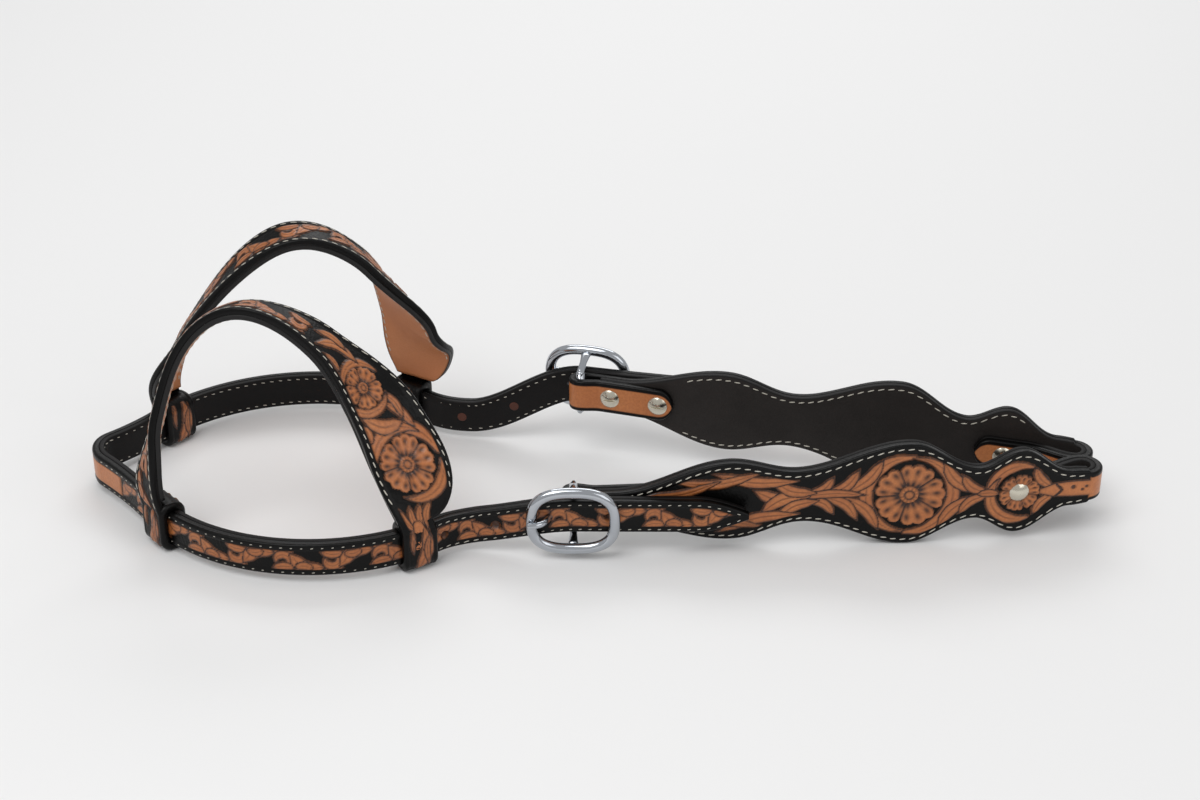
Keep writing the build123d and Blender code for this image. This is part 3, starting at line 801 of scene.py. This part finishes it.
def natural_spline(values):
    """Second-derivative-continuous curve through evenly spaced values, as a function of 0..1."""
    n = len(values)
    system = np.zeros((n, n))
    right = np.zeros(n)
    system[0, :2] = (2, 1)
    right[0] = 3 * (values[1] - values[0])
    for i in range(1, n - 1):
        system[i, i - 1:i + 2] = (1, 4, 1)
        right[i] = 3 * (values[i + 1] - values[i - 1])
    system[-1, -2:] = (1, 2)
    right[-1] = 3 * (values[-1] - values[-2])
    slope = np.linalg.solve(system, right)

    def curve(t):
        x = np.clip(t * (n - 1), 0, n - 1 - 1e-9)
        i = x.astype(int)
        u = x - i
        return hermite(u, values[i], values[i + 1], slope[i], slope[i + 1])
    return curve


def ear_slides(crown):
    front_s = crown.arc_s + EAR_ARC_RADIUS * math.radians(EAR_ARC_ANGLE / 2 - EAR_SLIDE_ANGLE)
    return crown.frame(front_s), crown.frame(front_s + 2 * EAR_ARC_RADIUS * math.radians(EAR_SLIDE_ANGLE))


def ear_stations(crown, count):
    """Stations from the front slide over to the rear one, their places 0..1, and the length."""
    front, rear = ear_slides(crown)
    chord = unit(rear[0] - front[0])
    outward = unit(front[2] + rear[2])
    stand_off = CROWN_THICK / 2 + RING_CLEARANCE + OUTER_THICK / 2 + BAND_INSET
    span = 2 * EAR_ARC_RADIUS * math.sin(math.radians(EAR_SLIDE_ANGLE))
    rise = EAR_APEX_Z[crown.side] - SLIDE_Z
    keys = np.array([(u * span, SLIDE_Z + z * rise) for u, z in EAR_SHAPE])
    fine = np.linspace(0, 1, 1200)
    flat = np.stack([natural_spline(keys[:, k])(fine) for k in (0, 1)], 1)
    run = distances(flat)
    ts = np.linspace(0, 1, count)
    flat = np.stack([np.interp(ts * run[-1], run, flat[:, k]) for k in (0, 1)], 1)
    points = []
    for t, (u, z) in zip(ts, flat):
        lift = (z - SLIDE_Z) / rise
        foot = smooth(1 - lift / 0.4)
        face = unit((front if t < 0.5 else rear)[2] * foot + outward * (1 - foot))
        base = front[0] + chord * (u + EAR_SKEW[crown.side] * smooth(lift))
        points.append(np.array([base[0], base[1], z]) + face * stand_off - outward * EAR_LEAN * smooth(lift))
    points = np.array(points)
    tangents = np.gradient(points, axis=0)
    twist = [(t, EAR_SLIDE_ANGLE if v is None else v) for t, v in EAR_TWIST]
    stations = []
    for t, point, tangent in zip(ts, points, tangents):
        upright = smooth(1 - (point[2] - SLIDE_Z) / (UPRIGHT_LEG * rise))
        tangent = unit(unit(tangent) * (1 - upright) + UP * upright * math.copysign(1.0, tangent[2]))
        out = unit(outward - tangent * np.dot(outward, tangent))
        over = unit(np.cross(tangent, out)) * crown.side
        angle = math.radians(interpolate(twist, t))
        normal = out * math.cos(angle) + over * math.sin(angle)
        width = np.cross(tangent, normal) * crown.side
        stations.append((point, width, normal, -STRAP_WIDTH / 2, STRAP_WIDTH / 2 + ear_lobe(t), t * run[-1]))
    return stations, ts, run[-1]


def ear_lobe(t):
    if t < LOBE_START or t > LOBE_END:
        return 0.0
    if t < LOBE_PEAK:
        return EAR_LOBE * smooth((t - LOBE_START) / (LOBE_PEAK - LOBE_START))
    return EAR_LOBE * math.sqrt(1 - ((t - LOBE_PEAK) / (LOBE_END - LOBE_PEAK)) ** 2)


def ear_carving(length):
    carving = Carving()
    low = length * 0.05
    running_leaves(carving, low, length * 0.58, 5.2, 23.0)
    peak = length * 0.855
    lower = (peak, 7.5)
    upper = (length * 0.72, 3.0)
    carving.scroll(lower, 14.9, 95, 160, 3.1, shrink=0.02)
    carving.scroll(lower, 14.9, -95, -130, 3.1, shrink=0.02)
    carving.scroll(lower, 15.0, 80, -110, 2.7, shrink=0.05)
    carving.flower(lower, 12.4, 5, 0.3)
    carving.leaves(
        (length * 0.765, -4.0, peak - 16.0, 13.5, -0.16, 3.4),
        (length * 0.755, 8.5, peak - 12.0, 17.5, 0.08, 2.4),
        (length * 0.775, -5.5, peak - 12.0, -4.8, 0.10, 2.3),
        (length * 0.74, 10.5, length * 0.79, 14.0, 0.10, 2.0),
    )
    carving.scroll(upper, 10.9, 110, 150, 2.2, shrink=0.05)
    carving.scroll(upper, 10.9, -70, 130, 2.2, shrink=0.05)
    carving.flower(upper, 9.3, 5, 0.9)
    carving.leaves(
        (length * 0.615, -3.5, length * 0.685, 8.0, 0.18, 2.8),
        (length * 0.60, 3.0, length * 0.66, 7.5, 0.12, 2.2),
        (length * 0.635, -4.6, length * 0.68, -4.0, 0.10, 1.7),
    )
    for b in (-4.5, 0.5, 5.5, 10.5):
        carving.leaf((length * 0.965, b * 0.35), (length * 0.918, b), 0.12, 1.9)
    carving.stroke([(length * 0.99, 0.0), (length * 0.955, 0.0)], [4.5, 2.6], 0.4, 0.2)
    return carving


PAST_CARVING = 40.0


def slide_ring(name, crown_frame, material):
    """The loop at the foot of an ear: a thick leather band, carved on its two broad faces."""
    point, along, outward, width = crown_frame
    inner_n = CROWN_THICK + 2 * RING_CLEARANCE
    inner_z = STRAP_WIDTH + 2 * RING_CLEARANCE
    half_n = inner_n / 2 + RING_WALL / 2
    half_z = inner_z / 2 + RING_WALL / 2
    corner = RING_ROUND
    outline = []
    for cn, cz, first in ((1, 1, 0), (-1, 1, 90), (-1, -1, 180), (1, -1, 270)):
        for angle in np.radians(first + np.linspace(0, 90, 7)):
            n = cn * (half_n - corner) + corner * math.cos(angle)
            z = cz * (half_z - corner) + corner * math.sin(angle)
            outline.append((n, z, math.cos(angle), math.sin(angle)))
    outline.append(outline[0])
    outline = np.array(outline)
    run = distances(outline[:, :2])
    count = int(run[-1] / 0.6)
    stations = []
    for d in np.linspace(0, run[-1], count, endpoint=False):
        n, z, un, uz = [np.interp(d, run, outline[:, k]) for k in range(4)]
        up = unit(outward * un + width * uz)
        half = RING_LENGTH / 2
        place = z if abs(un) > 0.7 else PAST_CARVING + d
        stations.append((point + outward * n + width * z, along, up, -half, half, place))
    carving = Carving()
    carving.leaf((-10.5, -2.6), (10.0, 1.6), 0.16, 3.4)
    carving.leaf((-9.0, 3.4), (8.0, 4.2), -0.08, 1.8)
    carving.leaf((10.0, -3.4), (-2.0, -4.0), 0.06, 1.4)

    def face(a, b, low, high):
        return bordered(carving, 2.4, low, high, a, b, 0.15)

    band = Sheet(stations, -RING_WALL / 2, RING_WALL / 2, 30, closed=True, edge=1.7)
    return band.build(name, material, face)


def ear_pieces(side, name, paths):
    crown = paths[side][0]
    stations, ts, length = ear_stations(crown, 470)
    carving = ear_carving(length)

    def face(a, b, low, high):
        return bordered(carving, BORDER, low, high, a, b)

    strap = Sheet(stations, -OUTER_THICK / 2, OUTER_THICK / 2, ACROSS["ear"])
    strap = strap.build(name + "_ear_leather", TOOLED, face)
    inner = [s for s, t in zip(stations, ts) if EAR_LINING_START <= t <= 1 - EAR_LINING_START][::3]
    top = -OUTER_THICK / 2 - GLUE_LINE

    def lining_face(_, b, low, high):
        edge = np.minimum(b - low, high - b)
        return np.zeros_like(b), np.zeros_like(b), np.clip(1.0 - (edge - 0.2) / 0.8, 0, 1)

    lining = Sheet(flipped(inner), -top, -top + LINING_THICK, 40, edge=LINING_EDGE)
    lining = lining.build(name + "_ear_inner", NATURAL_LINING, lining_face)
    rings = [slide_ring(name + "_" + place + "_slide", slide, TOOLED)
             for place, slide in zip(("front", "rear"), ear_slides(crown))]
    sewing = Stitches()
    sewing.row(stations[::6], STITCH_INSET, OUTER_THICK / 2, first=10.0, last=length - 12.0)
    ends = {"first": length * 0.07, "last": length * 0.93}
    sewing.row(stations[::6], STITCH_INSET, top - LINING_THICK, **ends, inside=-1.0)
    seam = sewing.build(name + "_ear_stitching", THREAD)
    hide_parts(name + "_ear_outer")
    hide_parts(name + "_ear_lining")
    dress(name + "_ear", *[(piece, "tooled_leather") for piece in [strap, seam] + rings])
    dress(name + "_ear", (lining, "natural_lining"))


# ---------------- cheeks
TAB_GAP = 0.1
FLESH_N = BAR_RADIUS + BAR_CLEARANCE
LINING_INNER_N = FLESH_N - GLUE_LINE - LINING_THICK
TAB_N = LINING_INNER_N - TAB_GAP
LOOP_S = CHEEK_LENGTH - BIT_LOOP_RADIUS - LINING_THICK - GLUE_LINE - OUTER_THICK
LOOP_N = LINING_INNER_N - BIT_LOOP_RADIUS
LOOP_LINE_RADIUS = BIT_LOOP_RADIUS + LINING_THICK + GLUE_LINE
RETURN_N = LINING_INNER_N - TAB_GAP - LINING_THICK - GLUE_LINE
LOOP_EASE = 22.0
BAR_EASE = 10.0
LINING_START = 9.5
END_RADIUS = 7.0
SCALLOP_END = 213.0
FOLD_SHIFT = 400.0


def bar_fold():
    line = [(s, TAB_N, round_end(STRAP_WIDTH, TAB_LENGTH - s, END_RADIUS))
            for s in spaced(TAB_LENGTH, BAR_EASE, 0.8)]
    for s in spaced(BAR_EASE, 0.0, 0.8)[1:-1]:
        line.append((s, TAB_N + (-FLESH_N - TAB_N) * smooth(1 - s / BAR_EASE), STRAP_WIDTH))
    for a in np.radians(spaced(270.0, 90.0, 9.0)):
        line.append((FLESH_N * math.cos(a), FLESH_N * math.sin(a), STRAP_WIDTH))
    return line


def bit_fold():
    narrow = CHEEK_STATIONS[-1][1]
    line = []
    for a in np.radians(spaced(90.0, -90.0, 7.0)[1:]):
        reach = LOOP_LINE_RADIUS * math.cos(a)
        line.append((LOOP_S + reach, LOOP_N + LOOP_LINE_RADIUS * math.sin(a), narrow))
    low = LOOP_N - LOOP_LINE_RADIUS
    for s in spaced(LOOP_S, LOOP_S - LOOP_EASE, 0.8)[1:]:
        line.append((s, low + (RETURN_N - low) * smooth((LOOP_S - s) / LOOP_EASE), narrow))
    for s in spaced(LOOP_S - LOOP_EASE, BIT_TONGUE_END_S, 0.8)[1:]:
        line.append((s, RETURN_N, round_end(narrow, s - BIT_TONGUE_END_S, END_RADIUS)))
    return line


def cheek_carving():
    carving = Carving()
    flower = (149.5, 0.0)
    carving.scroll(flower, 19.6, 88, 182, 3.3, shrink=0.02)
    carving.scroll(flower, 19.6, -92, 182, 3.3, shrink=0.02)
    carving.flower(flower, 16.4, 5, 0.55)
    carving.leaves(
        (141.0, 11.0, 132.5, 2.0, 0.25, 1.7),
        (158.0, -11.0, 166.5, -1.0, 0.25, 1.7),
    )
    carving.leaves(
        (121.0, 1.0, 137.0, 18.5, -0.10, 3.2),
        (112.0, 0.5, 127.0, 13.6, -0.14, 2.9),
        (104.0, 1.5, 116.0, 10.0, -0.16, 2.6),
        (179.0, 1.0, 163.0, 17.5, 0.10, 3.2),
        (185.0, 0.5, 172.0, 10.5, 0.14, 2.7),
        ways=(1, -1),
    )
    carving.leaves(
        (99.0, 0.0, 131.0, 0.0, 0.04, 2.4),
        (104.0, -1.0, 80.0, 5.5, 0.12, 3.7),
        (105.0, 0.5, 83.0, -6.5, -0.12, 3.7),
        (108.0, 2.0, 88.0, 11.0, 0.14, 3.0),
        (109.0, -2.0, 88.0, -12.5, -0.12, 3.0),
    )
    carving.leaves(
        (100.0, 8.6, 62.0, 15.4, 0.07, 3.1),
        (84.0, 14.0, 44.0, 12.6, 0.09, 2.7),
        (66.0, 11.2, 30.0, 6.2, 0.08, 2.4),
        ways=(1, -1),
    )
    screw = (BIT_SCREW_S, 0.0)
    carving.scroll(screw, 14.0, 70, 150, 2.9, shrink=0.10)
    carving.scroll(screw, 14.0, -70, -150, 2.9, shrink=0.10)
    carving.scroll(screw, 12.8, 50, -100, 1.9, shrink=0.12)
    carving.flower(screw, 9.6, 6, 0.2)
    carving.leaves(
        (180.0, 0.0, 190.0, 0.0, 0.05, 2.2),
        (214.0, 2.0, 205.0, 13.0, 0.12, 2.6),
        (215.0, -1.5, 206.0, -12.0, -0.12, 2.6),
    )
    carving.stroke([(209.0, 0.0), (219.0, 0.3), (232.0, 0.0)], [1.6, 3.6, 4.2, 4.2], 0.35, 0.0)
    carving.stroke([(216.0, 3.0), (218.5, 0.0), (216.0, -3.0)], [0.5, 0.7, 0.5], 0.3, 1.5)
    # Three small pits near the tip, their floors darkened as painted shade.
    carving.pit((224.0, 1.0), 1.15, 0.4)
    carving.pit((228.4, -0.6), 0.8, 0.4)
    carving.pit((230.2, 0.9), 0.8, 0.4)
    return carving


def cheek_pieces(side, name, paths):
    path = paths[side][1]
    run = [(s, FLESH_N, cheek_width(s)) for s in spaced(0.0, LOOP_S, STEP_ALONG)]
    fold = bar_fold()
    back = bit_fold()
    stations = folded_stations(path, fold + run[1:] + back)
    for i, station in enumerate(stations):
        behind = i < len(fold) or i >= len(fold) + len(run) - 1
        station[5] = station[5] + (FOLD_SHIFT if behind else 0.0)
    carving = cheek_carving()

    def face(a, b, low, high):
        height, tan, dark = bordered(carving, CHEEK_BORDER, low, high, a, b)
        edge = np.minimum(b - low, high - b)
        plain = np.clip(a - FOLD_SHIFT + 20.0, 0, 1)
        bare = np.clip((edge - 1.9) / 0.6, 0, 1)
        seam_line = np.exp(-((edge - 1.7) / 0.3) ** 2)
        tan = np.where(plain > 0, bare, tan)
        dark = np.where(plain > 0, 0.5 * seam_line, dark)
        return np.where(plain > 0, 0.0, height), tan, dark

    outer = Sheet(stations, 0.0, OUTER_THICK, ACROSS["cheek"]).build(name + "_cheek_leather", TOOLED, face)
    inner_line = [(s, FLESH_N, cheek_width(s)) for s in spaced(LINING_START, LOOP_S, 1.2)] + back[::2]
    inner = folded_stations(path, inner_line)
    lining = Sheet(flipped(inner), GLUE_LINE, GLUE_LINE + LINING_THICK, 14, edge=LINING_EDGE)
    lining = lining.build(name + "_cheek_inner", DARK_LINING)
    front = folded_stations(path, run[::6])
    sewing = Stitches()
    sewing.row(front, CHEEK_STITCH_INSET, OUTER_THICK, first=1.0, last=LOOP_S - 1.0)
    clear = TAB_LENGTH + 3.0
    behind = folded_stations(path, [(s, FLESH_N, w) for s, _, w in run[::6] if clear <= s <= SCALLOP_END])
    sewing.row(behind, CHEEK_STITCH_INSET, -GLUE_LINE - LINING_THICK, inside=-1.0)
    seam = sewing.build(name + "_cheek_stitching", THREAD)
    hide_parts(name + "_cheek_outer")
    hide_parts(name + "_cheek_lining")
    dress(name + "_cheek", (outer, "tooled_leather"), (lining, "dark_lining"), (seam, "tooled_leather"))


# ---------------- hardware
def loft(rings, closed):
    """A tube through rings of points, joined end to end or capped."""
    count = len(rings[0])
    total = len(rings) * count
    vertices = [point for ring in rings for point in ring]
    faces = []
    for r in range(len(rings) if closed else len(rings) - 1):
        for k in range(count):
            a = r * count + k
            b = r * count + (k + 1) % count
            faces.append((a, b, (b + count) % total, (a + count) % total))
    if not closed:
        faces.append(tuple(reversed(range(count))))
        faces.append(tuple(range(total - count, total)))
    return vertices, faces


def joined(parts):
    """One list of vertices and one of faces from several of each."""
    vertices = []
    faces = []
    for points, polygons in parts:
        faces += [tuple(k + len(vertices) for k in polygon) for polygon in polygons]
        vertices += points
    return vertices, faces


def oval(centre, first, second, count=24):
    turns = np.linspace(0, 2 * math.pi, count, endpoint=False)
    return [centre + first * math.cos(t) + second * math.sin(t) for t in turns]


def buckle_casting(side, name, paths):
    """An oval rim, a slim arm down from the middle of each long side, and the dropped bar."""
    point, along, outward, width = paths[side][0].frame(paths[side][0].bar_s)
    bar = point - outward * BAR_DROP
    half_length = BUCKLE_LENGTH / 2 - RIM_RADIUS
    half_width = BUCKLE_WIDTH / 2 - RIM_RADIUS
    outline = []
    for turn in np.linspace(0, 2 * math.pi, 160, endpoint=False):
        u, v = [math.copysign(abs(x) ** RIM_POWER, x) for x in (math.cos(turn), math.sin(turn))]
        rise = RIM_RISE + RIM_BOW * u * u
        outline.append(bar + along * half_length * u + width * half_width * v + outward * rise)
    rings = []
    for k, centre in enumerate(outline):
        run = unit(outline[(k + 1) % len(outline)] - outline[k - 1])
        side_reach = unit(np.cross(run, outward)) * RIM_RADIUS
        rings.append(oval(centre, side_reach, outward * RIM_RADIUS * RIM_FLATNESS))
    tubes = [loft(rings, True)]
    for way in (-1.0, 1.0):
        rings = []
        for (n0, z0, half), (n1, z1, _) in zip(BUCKLE_ARM, BUCKLE_ARM[1:] + BUCKLE_ARM[-1:]):
            lean = unit(outward * (n0 - n1) + width * way * (z0 - z1)) if n0 != n1 else outward
            across = unit(np.cross(along, lean))
            rings.append(oval(bar + outward * n0 + width * way * z0, along * half, across * ARM_HALF_THICK))
        tubes.append(loft(rings, False))
    reach = BUCKLE_ARM[-2][1]
    ends = [oval(bar + width * z, along * BAR_RADIUS, outward * BAR_RADIUS) for z in (-reach, reach)]
    tubes.append(loft(ends, False))
    vertices, faces = joined(tubes)
    casting = mesh_object(name + "_buckle_casting", vertices, faces, CHROME)
    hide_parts(name + "_buckle_frame")
    dress(name + "_buckle", (casting, "buckle_chrome"))


def dress_hardware():
    """The tongues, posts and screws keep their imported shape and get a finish."""
    for node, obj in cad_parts.items():
        if "buckle" in node:
            finish = CHROME
        elif "post" in node or "screw" in node:
            finish = NICKEL
        else:
            continue
        obj.data.materials.clear()
        obj.data.materials.append(finish)


# ---------------- stage
CAMERA_SPOT = (5.2, -906.53, 563.4)
CAMERA_TILT = 60.38
CAMERA_PIXELS = 2273.0
FRAME_PIXELS = 1200.0
SENSOR = 36.0


def area_light(name, place, target, size, power, size_y=None):
    data = bpy.data.lights.new(name, "AREA")
    data.energy = power
    data.size = size
    if size_y:
        data.shape = "RECTANGLE"
        data.size_y = size_y
    light = bpy.data.objects.new(name, data)
    light.location = place
    light.rotation_euler = (Vector(target) - Vector(place)).to_track_quat("-Z", "Y").to_euler()
    bpy.context.scene.collection.objects.link(light)


def stage():
    bpy.ops.mesh.primitive_plane_add(size=8.0, location=(0, 0, 0))
    floor = bpy.context.object
    floor.name = "floor"
    m = Nodes("pale_floor")
    m.shade("Base Color", (0.82, 0.82, 0.82, 1.0))
    m.shade("Roughness", 0.9)
    m.shade("Normal", m.bump(m.noise(40.0), 0.02, 0.001))
    floor.data.materials.append(m.material)
    world = bpy.data.worlds.new("studio")
    world.use_nodes = True
    world.node_tree.nodes["Background"].inputs["Color"].default_value = (1.0, 1.0, 1.0, 1.0)
    world.node_tree.nodes["Background"].inputs["Strength"].default_value = 0.55
    bpy.context.scene.world = world
    area_light("key", (-0.5, -0.6, 1.3), (0, 0, 0), 0.9, 8.5)
    area_light("fill", (0.9, -0.9, 0.9), (0, 0, 0), 0.9, 3.0)
    area_light("back", (0.1, 1.1, 1.0), (0, 0, 0.03), 1.2, 6.0, 0.5)
    camera_data = bpy.data.cameras.new("camera")
    camera_data.lens = CAMERA_PIXELS / FRAME_PIXELS * SENSOR
    camera_data.sensor_width = SENSOR
    camera = bpy.data.objects.new("camera", camera_data)
    camera.location = [v * MM for v in CAMERA_SPOT]
    camera.rotation_euler = (math.radians(CAMERA_TILT), 0.0, 0.0)
    scene = bpy.context.scene
    scene.collection.objects.link(camera)
    scene.camera = camera
    scene.view_settings.view_transform = "Standard"


def build():
    paths = {side: make_paths(side) for side, _ in SIDES}
    crown_sheets(paths)
    for side, name in SIDES:
        ear_pieces(side, name, paths)
        cheek_pieces(side, name, paths)
        buckle_casting(side, name, paths)
    dress_hardware()
    stage()


build()
